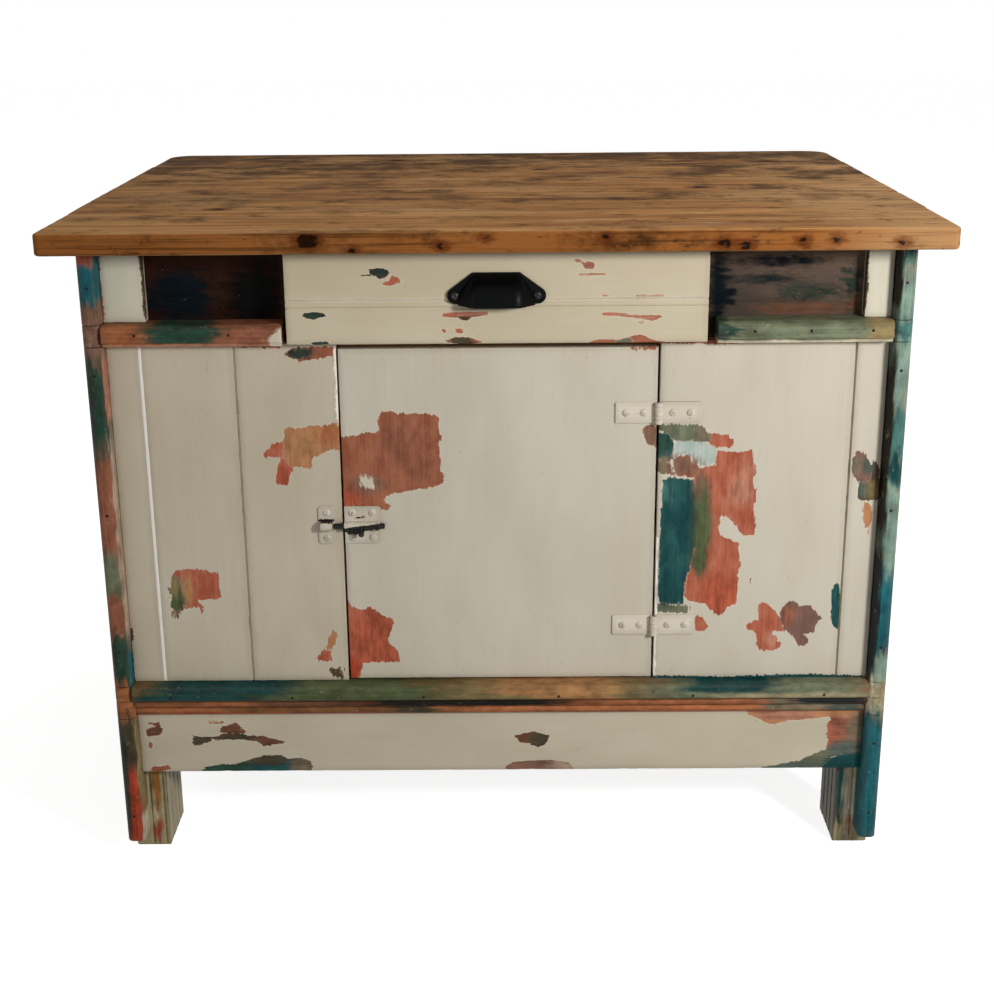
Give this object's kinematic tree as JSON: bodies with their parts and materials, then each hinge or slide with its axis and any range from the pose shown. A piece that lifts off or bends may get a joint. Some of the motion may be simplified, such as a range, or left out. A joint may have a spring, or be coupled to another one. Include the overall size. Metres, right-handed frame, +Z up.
{
  "type": "low island unit",
  "caption": "Low free-standing kitchen island of worn painted planks: board worktop, drawer with a cup pull, side-hung bolted door, moulded rails and legs.",
  "frame": {"origin": "on the floor under the middle of the worktop", "axes": "+X to the right along the front, +Y from the front to the back, +Z up; the front faces -Y"},
  "size_m": [1, 0.78, 0.79],
  "materials": {
    "cream_paint": "worn cream paint",
    "worn_moulding": "worn paint in brown, olive and teal",
    "dark_panel": "dark stained and worn",
    "pine_top": "waxed pine boards",
    "raw_pine": "bare sawn pine",
    "black_iron": "black",
    "painted_steel": "overpainted cream",
    "steel": "dull dark steel"
  },
  "bodies": {
    "cabinet": {"apron_front": "cream_paint", "short_stile_left": "cream_paint", "short_stile_right": "cream_paint", "stile_left": "cream_paint", "stile_right": "cream_paint", "plank_left_outer": "cream_paint", "plank_left_inner": "cream_paint", "plank_right": "cream_paint", "leg_front_left": "cream_paint", "leg_front_right": "cream_paint", "leg_rear_left": "cream_paint", "leg_rear_right": "cream_paint", "side_rail_lower_left": "cream_paint", "side_rail_lower_right": "cream_paint", "side_rail_upper_left": "cream_paint", "side_rail_upper_right": "cream_paint", "side_boards_left": "cream_paint", "side_boards_right": "cream_paint", "corner_bead_left": "worn_moulding", "corner_bead_right": "worn_moulding", "upper_rail_left": "worn_moulding", "upper_rail_right": "worn_moulding", "lower_rail": "worn_moulding", "lower_moulding": "worn_moulding", "recess_panel_left": "dark_panel", "recess_panel_right": "dark_panel", "top_board_1": "pine_top", "top_board_2": "pine_top", "top_board_3": "pine_top", "top_board_4": "pine_top", "top_board_5": "pine_top", "top_batten_left": "raw_pine", "top_batten_right": "raw_pine", "drawer_rail": "raw_pine", "floor_rail_front": "raw_pine", "floor_rail_rear": "raw_pine", "rear_rail": "raw_pine", "floor_boards": "raw_pine", "back_boards": "raw_pine", "drawer_runner_left": "raw_pine", "drawer_runner_right": "raw_pine", "drawer_guide_left": "raw_pine", "drawer_guide_right": "raw_pine", "drawer_stops": "raw_pine", "hinge_frame_leaves": "painted_steel", "bolt_keeper": "painted_steel", "hinge_pins": "steel"},
    "drawer": {"drawer_front": "cream_paint", "drawer_side_left": "raw_pine", "drawer_side_right": "raw_pine", "drawer_back": "raw_pine", "drawer_bottom": "raw_pine", "cup_pull": "black_iron"},
    "door": {"door_panel": "cream_paint", "door_ledge_upper": "raw_pine", "door_ledge_lower": "raw_pine", "hinge_door_leaves": "painted_steel", "bolt_plate": "painted_steel"},
    "bolt": {"bolt_rod": "steel"}
  },
  "joints": [
    {"name": "drawer_slide", "type": "slide", "parent": "cabinet", "child": "drawer", "axis": [0, -1, 0], "range_m": [0, 0.42]},
    {"name": "door_hinge", "type": "hinge", "parent": "cabinet", "child": "door", "pos_m": [0.18475, -0.335, 0.44], "axis": [0, 0, 1], "range_deg": [0, 160]},
    {"name": "bolt_slide", "type": "slide", "parent": "door", "child": "bolt", "axis": [-1, 0, 0], "range_m": [-0.012, 0.009]}
  ]
}
